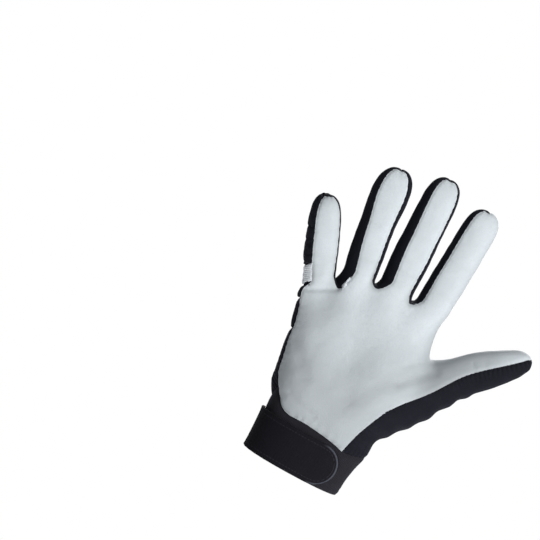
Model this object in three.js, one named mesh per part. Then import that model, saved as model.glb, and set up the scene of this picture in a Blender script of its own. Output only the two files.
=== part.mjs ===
// Mechanic glove for a right hand, in the form it has when worn.
// The fingers point up +Z, the palm faces -Y and the thumb leaves towards +X.
// The origin is the centre of the cuff's mouth. Lengths are millimetres and angles are degrees.
import * as THREE from 'three';

// Driving sizes
const cuff = { width: 78, depth: 50, height: 38.5, wall: 2.4 };
const palm = { width: 100, length: 100, depth: 50 };
const finger = { depth: 24, length: 89 };
const thumb = { width: 29, depth: 27, length: 77, rise: 44.2 };
const leatherWall = 1.6;
const fabricWall = 1.6;
const seamGap = 0.3;
const strap = { height: 32, overlap: 65.8, wall: 2.2, clearance: 0.4 };
const label = { width: 27, height: 15.5, wall: 1.2, clearance: 0.5 };
const puff = { segment: 1.6, knuckle: 1.5, back: 0.9 };
const bandRib = 0.45;

// Gathers along the thumb: their height and pitch, their turn to the glove's width, and how far up the thumb
// from the cuff's top their first crest lies and where they start and end to fade
const ruffle = { height: 1.0, pitch: 16.4, turn: 57.2, crest: 11.1, fade: 108, end: 124 };

// The net of the glove: rows run from the cuff's top to the fingers, columns run across
const cuffRows = 4;
const palmRows = 12;
const thumbRow = 6;
const foldRow = 7;
const webRow = 8;
const knuckleRow = 10;
const fingerColumns = 4;
const crotchColumns = 2;
const handColumns = 4 * fingerColumns + 3 * crotchColumns;
const thumbColumns = 6;
const bandRow = 1;
const segmentRow = 3;
const capRow = 6;
const fingerRows = 10;

// Palm sections from the cuff's top upwards: x places and depths as shares of the palm's width and depth.
// ulnar and radial are the outermost points, frontSeam and backSeam are where the thumb panel begins.
const palmSections = [
  { ulnar: -0.408, radial: 0.452, frontSeam: 0.245, backSeam: 0.330, front: 0.500, back: 0.500 },
  { ulnar: -0.463, radial: 0.443, frontSeam: 0.270, backSeam: 0.355, front: 0.510, back: 0.480 },
  { ulnar: -0.473, radial: 0.508, frontSeam: 0.300, backSeam: 0.380, front: 0.510, back: 0.460 },
  { ulnar: -0.480, radial: 0.596, frontSeam: 0.340, backSeam: 0.400, front: 0.500, back: 0.440 },
  { ulnar: -0.497, radial: 0.684, frontSeam: 0.390, backSeam: 0.430, front: 0.490, back: 0.420 },
  { ulnar: -0.512, radial: 0.750, frontSeam: 0.470, backSeam: 0.460, front: 0.470, back: 0.400 },
  { ulnar: -0.517, radial: 0.800, frontSeam: 0.570, backSeam: 0.490, front: 0.450, back: 0.385 },
  { ulnar: -0.523, radial: 0.660, frontSeam: 0.540, backSeam: 0.500, front: 0.430, back: 0.370 },
  { ulnar: -0.540, radial: 0.545, frontSeam: 0.500, backSeam: 0.480, front: 0.410, back: 0.360 },
  { ulnar: -0.558, radial: 0.500, frontSeam: 0.455, backSeam: 0.455, front: 0.385, back: 0.345 },
  { ulnar: -0.582, radial: 0.492, frontSeam: 0.430, backSeam: 0.435, front: 0.355, back: 0.330 },
  { ulnar: -0.602, radial: 0.492, frontSeam: 0.415, backSeam: 0.420, front: 0.325, back: 0.315 },
];

// The cuff's mouth: seam places as shares of the cuff's width
const mouthSeam = { front: 0.300, back: 0.420 };

// Top line of the cuff on the palm side: across as a share from the ulnar edge to the thumb seam,
// height as a share of the cuff's height
const cuffLine = [
  { across: 0.00, height: 1.390 },
  { across: 0.04, height: 1.245 },
  { across: 0.15, height: 1.020 },
  { across: 0.25, height: 0.967 },
  { across: 0.47, height: 0.977 },
  { across: 0.85, height: 0.900 },
  { across: 1.00, height: 0.832 },
];

// Seams across the back, from the ulnar edge to the thumb side: heights as shares of the palm's length
// above the cuff
const foldLine = [
  { across: 0.00, height: 0.555 },
  { across: 0.28, height: 0.673 },
  { across: 0.48, height: 0.710 },
  { across: 0.74, height: 0.735 },
  { across: 1.00, height: 0.705 },
];
const knuckleLine = [
  { across: 0.00, height: 0.790 },
  { across: 0.24, height: 0.940 },
  { across: 0.57, height: 1.055 },
  { across: 0.78, height: 1.105 },
  { across: 1.00, height: 1.110 },
];

// Fingers: x of the base as a share of the palm's width, height of the base as a share of the palm's length
// above the cuff, lean to the ulnar side, length as a share of the longest finger, curl towards the palm and
// bow to the ulnar side as shares of the length, where its band ends and its cap begins, how far its seams
// slant down to the ulnar side as a share of the longest finger, and its share of the segments' puff
const fingers = [
  {
    name: 'pinkie', x: -0.518, z: 1.010, lean: 22.0, length: 0.680, curl: 0.13, bow: 0.000,
    band: 0.270, cap: 0.620, slant: 0.13, puff: 0.7,
  },
  {
    name: 'ring', x: -0.256, z: 1.145, lean: 7.0, length: 0.963, curl: 0.14, bow: 0.014,
    band: 0.235, cap: 0.660, slant: 0, puff: 1.0,
  },
  {
    name: 'middle', x: 0.038, z: 1.205, lean: 2.6, length: 1.008, curl: 0.13, bow: 0.000,
    band: 0.190, cap: 0.560, slant: 0, puff: 1.0,
  },
  {
    name: 'index', x: 0.347, z: 1.195, lean: -2.0, length: 0.938, curl: 0.11, bow: -0.004,
    band: 0.240, cap: 0.575, slant: 0, puff: 1.6,
  },
];
const slantLean = 19;
const slantFade = 0.5;

// Seams of the fingers, in degrees round them. The leather reaches from the middle of the front to its ulnar
// and radial edges, at the root and at the tip. The pieces of the back reach from its middle to theirs.
const fingerSeams = {
  pinkie: { ulnarRoot: 21, ulnarTip: 42, radialRoot: 57, radialTip: 62, backRadial: 44, backUlnar: 54 },
  ring: { ulnarRoot: 12, ulnarTip: 40, radialRoot: 47, radialTip: 39, backRadial: 50, backUlnar: 46 },
  middle: { ulnarRoot: 17, ulnarTip: 33, radialRoot: 42, radialTip: 52, backRadial: 48, backUlnar: 48 },
  index: { ulnarRoot: 39, ulnarTip: 42, radialRoot: 42, radialTip: 49, backRadial: 64, backUlnar: 48 },
};
const frontMiddle = -90;
const backMiddle = 90;

// Finger sections: place along the finger, width of each finger as a share of the palm's width, which the
// four fingers fill side by side, and depth as a share of the finger's depth
const fingerSections = [
  { along: 0.00, pinkie: 0.262, ring: 0.282, middle: 0.298, index: 0.288, depth: 1.10 },
  { along: 0.15, pinkie: 0.262, ring: 0.296, middle: 0.314, index: 0.291, depth: 1.05 },
  { along: 0.30, pinkie: 0.263, ring: 0.304, middle: 0.326, index: 0.294, depth: 1.00 },
  { along: 0.45, pinkie: 0.262, ring: 0.291, middle: 0.308, index: 0.290, depth: 0.98 },
  { along: 0.60, pinkie: 0.253, ring: 0.306, middle: 0.305, index: 0.285, depth: 0.98 },
  { along: 0.75, pinkie: 0.245, ring: 0.332, middle: 0.300, index: 0.290, depth: 0.95 },
  { along: 0.87, pinkie: 0.210, ring: 0.306, middle: 0.287, index: 0.277, depth: 0.84 },
  { along: 0.93, pinkie: 0.172, ring: 0.252, middle: 0.247, index: 0.240, depth: 0.68 },
  { along: 0.97, pinkie: 0.124, ring: 0.186, middle: 0.184, index: 0.182, depth: 0.45 },
  { along: 0.99, pinkie: 0.080, ring: 0.125, middle: 0.124, index: 0.122, depth: 0.27 },
];
const lastRing = 0.988;
const tipShoulder = 0.5;
const tipFall = 0.25;

// Places of the net's rows on a finger: where its band begins, and the rows from the cap's edge to the last
// ring as shares of that stretch
const bandStart = 0.03;
const capRows = [0.40, 0.74, 0.91, 1];

// Crotches between the fingers: x as a share of the palm's width, heights as shares of the palm's length
const crotches = [
  { name: 'ring_pinkie', x: -0.397, z: 1.040, frontX: -0.335, frontZ: 0.945, backZ: 1.020 },
  { name: 'middle_ring', x: -0.114, z: 1.165, frontX: -0.100, frontZ: 1.095, backZ: 1.120 },
  { name: 'index_middle', x: 0.194, z: 1.165, frontX: 0.168, frontZ: 1.110, backZ: 1.140 },
];
const crotchDepth = { front: 0.50, back: 0.40 };

// Thumb: x and height of its root like a finger's, and its sections along its axis
const thumbRoot = { x: 0.640, z: 0.660, curl: 0.14, merge: 0.30, turn: 4 };
const thumbSections = [
  { along: 0.00, width: 1.25, offset: 0.00, depth: 1.20 },
  { along: 0.18, width: 1.12, offset: -0.065, depth: 1.08 },
  { along: 0.37, width: 1.09, offset: -0.095, depth: 1.00 },
  { along: 0.51, width: 1.05, offset: -0.097, depth: 0.98 },
  { along: 0.70, width: 0.91, offset: -0.080, depth: 0.93 },
  { along: 0.88, width: 0.69, offset: -0.070, depth: 0.80 },
  { along: 0.95, width: 0.53, offset: -0.080, depth: 0.64 },
];
const thumbRings = [0.12, 0.24, 0.36, 0.48, 0.60, 0.72, 0.84, 0.95];

// Mounds and hollows of the palm side: place as shares of the palm's width and of its length above the cuff,
// spread as shares of the palm's width, height as a share of the palm's depth
const mounds = [
  { name: 'thumb base', x: 0.24, z: 0.36, spread: 0.20, height: 0.09 },
  { name: 'heel', x: -0.26, z: 0.30, spread: 0.17, height: 0.05 },
  { name: 'hollow', x: 0.00, z: 0.60, spread: 0.20, height: -0.11 },
  { name: 'finger pads', x: -0.20, z: 0.92, spread: 0.18, height: 0.04 },
];
const roundness = 2.4;
const ulnarRim = 0.012;

const colours = {
  leather: 0xc6ccd4,
  cap: 0xe6ebf0,
  fabric: 0x23252d,
  knit: 0x1d1e25,
  label: 0x1c2530,
};

const radians = THREE.MathUtils.degToRad;
const lerp = THREE.MathUtils.lerp;
const smooth = (share) => THREE.MathUtils.smoothstep(share, 0, 1);

// Value of a named column of a table at a place, on a smooth curve through its rows
function read(table, key, place, column) {
  const last = table.length - 1;
  let row = 0;
  while (row < last - 1 && place > table[row + 1][key]) {
    row += 1;
  }
  const from = table[row];
  const to = table[row + 1];
  const before = table[Math.max(row - 1, 0)];
  const after = table[Math.min(row + 2, last)];
  const span = to[key] - from[key];
  const share = THREE.MathUtils.clamp((place - from[key]) / span, 0, 1);
  const slopeFrom = (to[column] - before[column]) / Math.max(to[key] - before[key], span) * span;
  const slopeTo = (after[column] - from[column]) / Math.max(after[key] - from[key], span) * span;
  const square = share * share;
  const cube = square * share;
  return (2 * cube - 3 * square + 1) * from[column] + (cube - 2 * square + share) * slopeFrom
    + (3 * square - 2 * cube) * to[column] + (cube - square) * slopeTo;
}

// The net keeps its points once, and every quad carries the name of its piece
const points = [];
const quads = [];

function addPoint(x, y, z) {
  points.push(new THREE.Vector3(x, y, z));
  return points.length - 1;
}

function addQuad(piece, a, b, c, d, row = null) {
  quads.push({ piece, corners: [a, b, c, d], row });
}

// Closed rings of a finger, and the rows of its tip
function fingerPlace(digit, along) {
  const lean = radians(digit.lean);
  const length = digit.length * finger.length;
  const up = new THREE.Vector3(-Math.sin(lean), 0, Math.cos(lean));
  const across = new THREE.Vector3(Math.cos(lean), 0, Math.sin(lean));
  const centre = new THREE.Vector3(digit.x * palm.width, 0, cuff.height + digit.z * palm.length);
  centre.addScaledVector(up, length * along);
  centre.addScaledVector(across, -digit.bow * length * Math.sin(Math.PI * along));
  centre.y -= digit.curl * length * along * along;
  const axis = up.clone();
  axis.y -= 2 * digit.curl * along;
  axis.normalize();
  const back = new THREE.Vector3().crossVectors(axis, across).normalize();
  return { centre, across, back };
}

// Drop of a finger's seams at a place along it and across it, from -1 on its ulnar side to 1 on the other
function seamDrop(digit, along, across) {
  const side = Math.sqrt((1 - across) / 2) ** 3;
  return digit.slant * finger.length * side * (1 - smooth((along - digit.band) / slantFade));
}

function oval(angle) {
  const power = 2 / roundness;
  const cosine = Math.cos(angle);
  const sine = Math.sin(angle);
  return {
    across: Math.sign(cosine) * Math.abs(cosine) ** power,
    back: Math.sign(sine) * Math.abs(sine) ** power,
  };
}

function fingerAngles(seams, along) {
  const corners = [
    frontMiddle - lerp(seams.ulnarRoot, seams.ulnarTip, along),
    frontMiddle + lerp(seams.radialRoot, seams.radialTip, along),
    backMiddle - seams.backRadial,
    backMiddle + seams.backUlnar,
  ];
  corners.push(corners[0] + 360);
  const angles = [];
  for (const side of [0, 2]) {
    for (let step = 0; step <= fingerColumns; step += 1) {
      angles.push(lerp(corners[side], corners[side + 1], step / fingerColumns));
    }
    angles.push((corners[side + 1] + corners[side + 2]) / 2);
  }
  return angles.map(radians);
}

function fingerRing(digit, along) {
  const { centre, across, back } = fingerPlace(digit, along);
  const width = read(fingerSections, 'along', along, digit.name) * palm.width / 2;
  const depth = read(fingerSections, 'along', along, 'depth') * finger.depth / 2;
  const fall = radians(slantLean);
  return fingerAngles(fingerSeams[digit.name], along).map((angle) => {
    const place = oval(angle);
    const point = centre.clone();
    point.addScaledVector(across, width * place.across);
    point.addScaledVector(back, depth * place.back);
    const drop = seamDrop(digit, along, place.across);
    return addPoint(point.x + drop * Math.sin(fall), point.y, point.z - drop * Math.cos(fall));
  });
}

function fingerTip(digit) {
  const width = read(fingerSections, 'along', lastRing, digit.name) * palm.width / 2;
  return [-1, 0, 1].map((side) => {
    const { centre, across } = fingerPlace(digit, 1 - tipFall * (1 - lastRing) * Math.abs(side));
    centre.addScaledVector(across, side * tipShoulder * width);
    return addPoint(centre.x, centre.y, centre.z);
  });
}

function fingerRowPlaces(digit) {
  const segment = (digit.cap - digit.band) / (capRow - segmentRow);
  return [
    0,
    bandStart,
    (bandStart + digit.band) / 2,
    digit.band,
    digit.band + segment,
    digit.band + 2 * segment,
    digit.cap,
    ...capRows.map((share) => lerp(digit.cap, lastRing, share)),
  ];
}

// Names of the pieces on a finger
function backPiece(digit, row) {
  if (row < bandRow) {
    return 'knuckle_panel';
  }
  if (row < segmentRow) {
    return `band_${digit.name}`;
  }
  return row < capRow || digit.name === 'pinkie' ? `back_${digit.name}` : `cap_${digit.name}`;
}

function sidePieces(index) {
  const ulnar = index > 0 ? `gusset_${crotches[index - 1].name}` : null;
  const radial = index < crotches.length ? `gusset_${crotches[index].name}` : null;
  return { ulnar, radial };
}

function buildFinger(digit, index) {
  const rings = fingerRowPlaces(digit).map((along) => fingerRing(digit, along));
  const tip = fingerTip(digit);
  const sides = sidePieces(index);
  const count = rings[0].length;
  for (let row = 0; row < fingerRows; row += 1) {
    for (let column = 0; column < count; column += 1) {
      const next = (column + 1) % count;
      let piece = 'palm_leather';
      if (column === 4 || column === 5) {
        piece = sides.radial ?? 'palm_leather';
      } else if (column > 5 && column < 10) {
        piece = backPiece(digit, row);
      } else if (column >= 10) {
        piece = sides.ulnar ?? backPiece(digit, row);
      }
      addQuad(piece, rings[row][column], rings[row][next], rings[row + 1][next], rings[row + 1][column], row);
    }
  }
  const top = rings[fingerRows];
  const front = top.slice(0, 5);
  const middle = [top[11], tip[0], tip[1], tip[2], top[5]];
  const back = [top[10], top[9], top[8], top[7], top[6]];
  for (let step = 0; step < 4; step += 1) {
    const near = step < 2 ? sides.ulnar : sides.radial;
    const piece = near ?? sides.radial ?? 'palm_leather';
    addQuad(piece, front[step], front[step + 1], middle[step + 1], middle[step]);
    addQuad(piece, middle[step], middle[step + 1], back[step + 1], back[step]);
  }
  return rings[0];
}

// Crotches: the front, deepest and back points between two fingers, and the quads that join their rings
function buildCrotch(crotch, left, right) {
  const height = (share) => cuff.height + share * palm.length;
  const frontDepth = crotchDepth.front * finger.depth;
  const backDepth = crotchDepth.back * finger.depth;
  const front = addPoint(crotch.frontX * palm.width, -frontDepth, height(crotch.frontZ));
  const deep = addPoint(crotch.x * palm.width, 0, height(crotch.z));
  const back = addPoint(crotch.x * palm.width, backDepth, height(crotch.backZ));
  const piece = `gusset_${crotch.name}`;
  addQuad(piece, left[4], front, deep, left[5]);
  addQuad(piece, left[5], deep, back, left[6]);
  addQuad(piece, front, right[0], right[11], deep);
  addQuad(piece, deep, right[11], right[10], back);
  return { front, back };
}

// Palm rows: a closed section whose front and back columns lead to the fingers
function mouthSection() {
  return {
    ulnar: -cuff.width / 2,
    radial: cuff.width / 2,
    frontSeam: mouthSeam.front * cuff.width,
    backSeam: mouthSeam.back * cuff.width,
    front: cuff.depth / 2,
    back: cuff.depth / 2,
  };
}

function palmSection(row) {
  const shares = palmSections[row];
  return {
    ulnar: shares.ulnar * palm.width,
    radial: shares.radial * palm.width,
    frontSeam: shares.frontSeam * palm.width,
    backSeam: shares.backSeam * palm.width,
    front: shares.front * palm.depth,
    back: shares.back * palm.depth,
  };
}

function mixSections(from, to, share) {
  const mixed = {};
  for (const key of Object.keys(from)) {
    mixed[key] = lerp(from[key], to[key], share);
  }
  return mixed;
}

// Section of the cuff at a share of its height. It widens most near its top.
function cuffSection(share) {
  return mixSections(mouthSection(), palmSection(0), share * share);
}

function angleAt(section, x) {
  const middle = (section.ulnar + section.radial) / 2;
  const half = (section.radial - section.ulnar) / 2;
  const share = THREE.MathUtils.clamp((x - middle) / half, -1, 1);
  return Math.acos(Math.sign(share) * Math.abs(share) ** (roundness / 2));
}

function sectionPoint(section, angle) {
  const middle = (section.ulnar + section.radial) / 2;
  const half = (section.radial - section.ulnar) / 2;
  const place = oval(angle);
  const depth = place.back < 0 ? section.front : section.back;
  return { x: middle + half * place.across, y: depth * place.back };
}

function moundHeight(x, z) {
  let height = 0;
  for (const mound of mounds) {
    const across = (x / palm.width - mound.x) / mound.spread;
    const along = ((z - cuff.height) / palm.length - mound.z) * palm.length / palm.width / mound.spread;
    height += mound.height * palm.depth * Math.exp(-(across * across + along * along));
  }
  return height;
}

// Share of the way up to the fingers at which a row takes on their humps
function humpShare(row) {
  return smooth((row - webRow) / (palmRows - webRow));
}

function frontRow(section, row, start, base) {
  const share = Math.max(row, 0) / palmRows;
  const left = section.ulnar + ulnarRim * palm.width;
  const right = section.frontSeam;
  const baseLeft = points[base[0]].x;
  const baseRight = points[base[handColumns]].x;
  const ids = [];
  for (let column = 0; column <= handColumns; column += 1) {
    const target = points[base[column]];
    const across = lerp(column / handColumns, (target.x - baseLeft) / (baseRight - baseLeft), share);
    const x = lerp(left, right, across);
    const z = lerp(start(column / handColumns), target.z, share);
    const flat = sectionPoint(section, -angleAt(section, x)).y;
    const y = lerp(flat - (row > 0 ? moundHeight(x, z) : 0), target.y, humpShare(row));
    ids.push(addPoint(x, y, z));
  }
  return ids;
}

function backHeight(row, across, target) {
  const start = cuff.height;
  const fold = cuff.height + read(foldLine, 'across', across, 'height') * palm.length;
  const knuckle = cuff.height + read(knuckleLine, 'across', across, 'height') * palm.length;
  if (row <= foldRow) {
    return lerp(start, fold, row / foldRow);
  }
  if (row <= knuckleRow) {
    return lerp(fold, knuckle, (row - foldRow) / (knuckleRow - foldRow));
  }
  return lerp(knuckle, target.z, (row - knuckleRow) / (palmRows - knuckleRow));
}

function backRow(section, row, base) {
  const share = Math.max(row, 0) / palmRows;
  const left = section.ulnar + ulnarRim * palm.width;
  const right = section.backSeam;
  const baseLeft = points[base[0]].x;
  const baseRight = points[base[handColumns]].x;
  const ids = [];
  for (let column = 0; column <= handColumns; column += 1) {
    const target = points[base[column]];
    const across = lerp(column / handColumns, (target.x - baseLeft) / (baseRight - baseLeft), share);
    const x = lerp(left, right, across);
    const y = lerp(sectionPoint(section, angleAt(section, x)).y, target.y, humpShare(row));
    ids.push(addPoint(x, y, backHeight(Math.max(row, 0), across, target)));
  }
  return ids;
}

function sideRow(section, front, back, count) {
  const from = points[front];
  const to = points[back];
  const ids = [front];
  const start = -angleAt(section, from.x);
  const end = angleAt(section, to.x);
  for (let step = 1; step < count; step += 1) {
    const share = step / count;
    const place = sectionPoint(section, lerp(start, end, share));
    ids.push(addPoint(place.x, place.y, lerp(from.z, to.z, share)));
  }
  ids.push(back);
  return ids;
}

function ulnarPoint(section, front, back, drop) {
  return addPoint(section.ulnar, 0, (points[front].z + points[back].z) / 2 - drop);
}

const cuffTop = (across) => read(cuffLine, 'across', across, 'height') * cuff.height;

// Lowers a copied row to a share of its height, for the rows of the cuff
function lowerRow(ids, share) {
  for (const id of ids) {
    points[id].z *= share;
  }
}

function buildPalmRow(row, frontBase, backBase, ulnarBase) {
  const below = row < 0;
  const section = below ? cuffSection(1 + row / cuffRows) : palmSection(row);
  const front = frontRow(section, row, cuffTop, frontBase);
  const back = backRow(section, row, backBase);
  const baseDrop = (points[frontBase[0]].z + points[backBase[0]].z) / 2 - points[ulnarBase].z;
  const ulnar = ulnarPoint(section, front[0], back[0], baseDrop * Math.max(row, 0) / palmRows);
  let radial = null;
  if (row <= thumbRow) {
    radial = sideRow(section, front[handColumns], back[handColumns], thumbColumns);
  } else if (row >= webRow) {
    radial = sideRow(section, front[handColumns], back[handColumns], 2);
  }
  if (below) {
    const inner = radial.slice(1, -1);
    lowerRow([...front, ...back, ulnar, ...inner], 1 + row / cuffRows);
  }
  return { front, back, ulnar, radial };
}

function palmPiece(row) {
  if (row < 0) {
    return 'cuff';
  }
  if (row < foldRow) {
    return 'back_lower';
  }
  return row < knuckleRow ? 'back_upper' : 'knuckle_panel';
}

function radialPiece(row) {
  if (row < 0) {
    return 'cuff';
  }
  return row < thumbRow ? 'thumb_back' : 'palm_leather';
}

function joinRows(low, high, row) {
  const piece = palmPiece(row);
  const frontPiece = row < 0 ? 'cuff' : 'palm_leather';
  for (let column = 0; column < handColumns; column += 1) {
    const next = column + 1;
    addQuad(frontPiece, low.front[column], low.front[next], high.front[next], high.front[column]);
    addQuad(piece, low.back[next], low.back[column], high.back[column], high.back[next]);
  }
  addQuad(piece, low.ulnar, low.front[0], high.front[0], high.ulnar);
  addQuad(piece, low.back[0], low.ulnar, high.ulnar, high.back[0]);
  if (low.radial && high.radial && low.radial.length === high.radial.length) {
    for (let step = 0; step < low.radial.length - 1; step += 1) {
      const next = step + 1;
      const corners = [low.radial[step], low.radial[next], high.radial[next], high.radial[step]];
      addQuad(radialPiece(row), ...corners, row);
    }
  }
}

// Thumb: rings from its root in the palm net to the tip, half leather and half fabric
function thumbPlace(along) {
  const rise = radians(thumb.rise);
  const axis = new THREE.Vector3(Math.cos(rise), 0, Math.sin(rise));
  const outward = new THREE.Vector3(Math.sin(rise), 0, -Math.cos(rise));
  const centre = new THREE.Vector3(thumbRoot.x * palm.width, 0, cuff.height + thumbRoot.z * palm.length);
  centre.addScaledVector(axis, thumb.length * along);
  centre.addScaledVector(outward, read(thumbSections, 'along', along, 'offset') * thumb.width);
  centre.y -= thumbRoot.curl * thumb.length * along * along;
  return { axis, outward, centre };
}

function thumbRing(root, along) {
  const { axis, outward, centre } = thumbPlace(along);
  const width = read(thumbSections, 'along', along, 'width') * thumb.width / 2;
  const depth = read(thumbSections, 'along', along, 'depth') * thumb.depth / 2;
  const blend = smooth(along / thumbRoot.merge);
  return root.map((id, index) => {
    const place = oval(index * 2 * Math.PI / root.length - radians(thumbRoot.turn));
    const free = centre.clone();
    free.y -= depth * place.across;
    free.addScaledVector(outward, width * place.back);
    const drawn = points[id].clone().addScaledVector(axis, thumb.length * along);
    drawn.lerp(free, blend);
    return addPoint(drawn.x, drawn.y, drawn.z);
  });
}

function thumbTip() {
  const end = thumbRings[thumbRings.length - 1];
  const depth = read(thumbSections, 'along', end, 'depth') * thumb.depth / 2;
  return [-1, 0, 1].map((side) => {
    const { centre } = thumbPlace(1 - tipFall * (1 - end) * Math.abs(side));
    return addPoint(centre.x, centre.y + side * tipShoulder * depth, centre.z);
  });
}

function buildThumb(rows) {
  const low = rows[thumbRow];
  const mid = rows[thumbRow + 1];
  const web = rows[webRow];
  const root = [
    ...low.radial,
    mid.back[handColumns],
    web.back[handColumns],
    web.radial[1],
    web.front[handColumns],
    mid.front[handColumns],
  ];
  const rings = [root, ...thumbRings.map((along) => thumbRing(root, along))];
  const count = root.length;
  for (let row = 0; row < rings.length - 1; row += 1) {
    for (let column = 0; column < count; column += 1) {
      const next = (column + 1) % count;
      const piece = column < thumbColumns ? 'thumb_back' : 'palm_leather';
      addQuad(piece, rings[row][column], rings[row][next], rings[row + 1][next], rings[row + 1][column], row);
    }
  }
  const top = rings[rings.length - 1];
  const tip = thumbTip();
  const outer = top.slice(1, 6);
  const middle = [top[0], tip[0], tip[1], tip[2], top[6]];
  const inner = [top[11], top[10], top[9], top[8], top[7]];
  for (let step = 0; step < 4; step += 1) {
    addQuad('thumb_back', outer[step], outer[step + 1], middle[step + 1], middle[step]);
    addQuad('palm_leather', middle[step], middle[step + 1], inner[step + 1], inner[step]);
  }
}

// The whole net
function buildNet() {
  const bases = fingers.map(buildFinger);
  const joints = crotches.map((crotch, index) => buildCrotch(crotch, bases[index], bases[index + 1]));
  const frontBase = [];
  const backBase = [];
  bases.forEach((ring, index) => {
    frontBase.push(...ring.slice(0, 5));
    backBase.push(ring[10], ring[9], ring[8], ring[7], ring[6]);
    if (index < joints.length) {
      frontBase.push(joints[index].front);
      backBase.push(joints[index].back);
    }
  });
  const rows = {};
  for (let row = -cuffRows; row < palmRows; row += 1) {
    rows[row] = buildPalmRow(row, frontBase, backBase, bases[0][11]);
  }
  const last = bases[bases.length - 1];
  rows[palmRows] = {
    front: frontBase,
    back: backBase,
    ulnar: bases[0][11],
    radial: [last[4], last[5], last[6]],
  };
  for (let row = -cuffRows; row < palmRows; row += 1) {
    joinRows(rows[row], rows[row + 1], row);
  }
  buildThumb(rows);
}

// Outward direction of each net point. It is level round the cuff's mouth, so that the rim is flat.
const atMouth = (id) => points[id].z === 0;

function netNormals() {
  const sums = points.map(() => new THREE.Vector3());
  for (const quad of quads) {
    const [a, b, c, d] = quad.corners.map((id) => points[id]);
    const normal = new THREE.Vector3().crossVectors(c.clone().sub(a), d.clone().sub(b));
    for (const id of quad.corners) {
      sums[id].add(normal);
    }
  }
  return sums.map((sum, id) => (atMouth(id) ? sum.setZ(0) : sum).normalize());
}

const glove = new THREE.Group();
buildNet();
const normals = netNormals();

// Least divisor of a border step, which keeps the step short where the border turns sharply
const sharpestBend = 0.3;

// Border of a piece: for each border point, the step that takes both of its edges inwards by one amount.
// The rim of the mouth meets no other piece and stays where it is.
function borderSteps(faces, amount) {
  const edges = new Map();
  for (const corners of faces) {
    corners.forEach((from, index) => {
      const to = corners[(index + 1) % corners.length];
      edges.set(`${from}-${to}`, [from, to]);
    });
  }
  const inward = new Map();
  const border = [];
  for (const [from, to] of edges.values()) {
    if (edges.has(`${to}-${from}`)) {
      continue;
    }
    border.push([from, to]);
    const along = points[to].clone().sub(points[from]);
    const normal = normals[from].clone().add(normals[to]);
    const step = new THREE.Vector3().crossVectors(normal, along).normalize();
    for (const id of [from, to]) {
      inward.set(id, [...(inward.get(id) ?? []), atMouth(id) ? step.clone().multiplyScalar(0) : step]);
    }
  }
  const steps = new Map();
  for (const [id, [first, second]] of inward) {
    const bend = Math.max(1 + first.dot(second), sharpestBend);
    steps.set(id, first.clone().add(second).multiplyScalar(amount / bend));
  }
  return { border, steps };
}

// Faces split into strips along their rows, apart from those of a tip. The points keep their strip number.
const strips = new Map();

function splitRows(faces, count, firstRow) {
  const made = new Map();
  const between = (low, high, step, row) => {
    if (step === 0 || step === count) {
      const id = step === 0 ? low : high;
      strips.set(id, (row - firstRow) * count + step);
      return id;
    }
    const key = `${low}-${high}-${step}`;
    if (!made.has(key)) {
      const point = points[low].clone().lerp(points[high], step / count);
      const id = addPoint(point.x, point.y, point.z);
      normals.push(normals[low].clone().lerp(normals[high], step / count).normalize());
      strips.set(id, (row - firstRow) * count + step);
      made.set(key, id);
    }
    return made.get(key);
  };
  const split = [];
  for (const { corners: [a, b, c, d], row } of faces) {
    if (row === null) {
      split.push({ corners: [a, b, c, d] });
      continue;
    }
    for (let step = 0; step < count; step += 1) {
      const low = [between(a, d, step, row), between(b, c, step, row)];
      const high = [between(b, c, step + 1, row), between(a, d, step + 1, row)];
      split.push({ corners: [...low, ...high] });
    }
  }
  return split;
}

// Closed shell of a piece: its net faces outside, the same faces one wall deeper inside, and a rim between
function shell(faces, wall, relief) {
  const { border, steps } = borderSteps(faces, seamGap / 2);
  const ids = [...new Set(faces.flat())];
  const order = new Map(ids.map((id, index) => [id, index]));
  const position = [];
  for (const depth of [0, wall]) {
    for (const id of ids) {
      const step = steps.get(id);
      const height = step ? 0 : relief(id);
      const point = points[id].clone().addScaledVector(normals[id], height - depth);
      if (step) {
        point.add(step);
      }
      position.push(point.x, point.y, point.z);
    }
  }
  const index = [];
  const outer = (id) => order.get(id);
  const inner = (id) => order.get(id) + ids.length;
  for (const [a, b, c, d] of faces) {
    const even = points[a].distanceTo(points[c]) <= points[b].distanceTo(points[d]);
    const halves = even ? [[a, b, c], [a, c, d]] : [[a, b, d], [b, c, d]];
    for (const [i, j, k] of halves) {
      index.push(outer(i), outer(j), outer(k));
      index.push(inner(i), inner(k), inner(j));
    }
  }
  for (const [from, to] of border) {
    if (from < to) {
      index.push(outer(from), inner(from), inner(to), outer(from), inner(to), outer(to));
    } else {
      index.push(outer(from), inner(from), outer(to), inner(from), inner(to), outer(to));
    }
  }
  const geometry = new THREE.BufferGeometry();
  geometry.setAttribute('position', new THREE.Float32BufferAttribute(position, 3));
  geometry.setIndex(index);
  return geometry;
}

// Relief of the pieces: puffed segments and knuckles, ribbed bands and the gathers along the thumb
const noRelief = () => 0;

// The knuckles are drawn in at the crotches and full at a distance from them
const knuckleReach = 0.13;
const knuckleDip = 0.5;

function knuckleRelief(id) {
  const nearest = Math.min(...crotches.map((crotch) => Math.abs(points[id].x / palm.width - crotch.x)));
  return puff.knuckle * lerp(-knuckleDip, 1, smooth(nearest / knuckleReach));
}

function ruffleRelief(id) {
  const turn = radians(ruffle.turn);
  const along = points[id].x * Math.cos(turn) + (points[id].z - cuff.height) * Math.sin(turn);
  const fade = 1 - smooth((along - ruffle.fade) / (ruffle.end - ruffle.fade));
  return ruffle.height * fade * Math.cos(2 * Math.PI * (along - ruffle.crest) / ruffle.pitch);
}

const ribRelief = (id) => bandRib * (strips.get(id) % 2 ? 1 : -1);

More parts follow.
